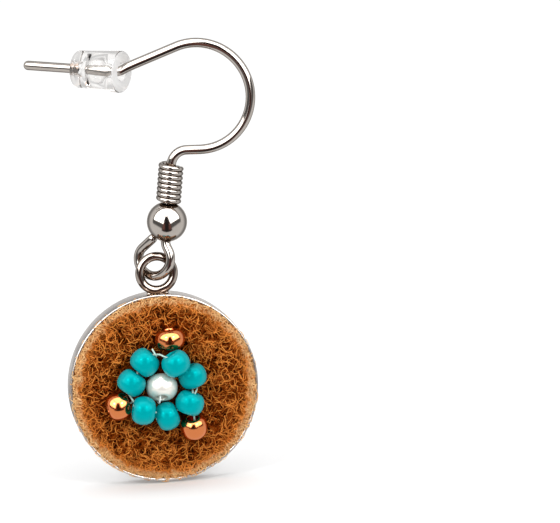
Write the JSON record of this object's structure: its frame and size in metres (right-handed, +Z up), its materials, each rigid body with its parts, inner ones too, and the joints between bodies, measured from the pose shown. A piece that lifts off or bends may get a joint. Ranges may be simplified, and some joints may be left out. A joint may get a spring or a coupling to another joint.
{
  "type": "beaded hook earring",
  "caption": "Ear hook with a sliding clear stopper, wire coil and ball, and a swinging round bezel pendant filled with felt and sewn glass beads.",
  "frame": {"origin": "top of the bow, in the middle of the wire, where the earring hangs in the ear", "axes": "+Z up; the pendant's beaded face looks along -Y; +X to the right seen from the front; the tail leads to -X and +Y"},
  "size_m": [0.0163, 0.0093, 0.0329],
  "materials": {
    "steel_wire": "polished steel wire",
    "steel_polished": "mirror-polished steel",
    "steel_brushed": "softly polished steel with a bright rim",
    "clear_plastic": "clear moulded plastic",
    "felt": "fluffy wool felt",
    "pearl_glass": "pearly glass",
    "turquoise_glass": "glossy opaque glass",
    "copper_glass": "mirror-like copper plating on glass"
  },
  "bodies": {
    "hook": {"ear_hook": "steel_wire", "coil": "steel_wire", "ball": "steel_polished"},
    "clear_stopper": {"stopper": "clear_plastic"},
    "pendant": {"bezel": "steel_brushed", "felt_pad": "felt", "center_bead": "pearl_glass", "petal_bead_1": "turquoise_glass", "petal_bead_2": "turquoise_glass", "petal_bead_3": "turquoise_glass", "petal_bead_4": "turquoise_glass", "petal_bead_5": "turquoise_glass", "petal_bead_6": "turquoise_glass", "petal_bead_7": "turquoise_glass", "accent_bead_1": "copper_glass", "accent_bead_2": "copper_glass", "accent_bead_3": "copper_glass"}
  },
  "joints": [
    {"name": "pendant_swing", "type": "hinge", "parent": "hook", "child": "pendant", "pos_m": [-0.00358, 0.00126, -0.01705], "axis": [0, 1, 0], "range_deg": [-60, 60]},
    {"name": "stopper_slide", "type": "slide", "parent": "hook", "child": "clear_stopper", "axis": [-0.8132, 0.5797, 0.0518], "range_m": [0, 0.0062]}
  ]
}
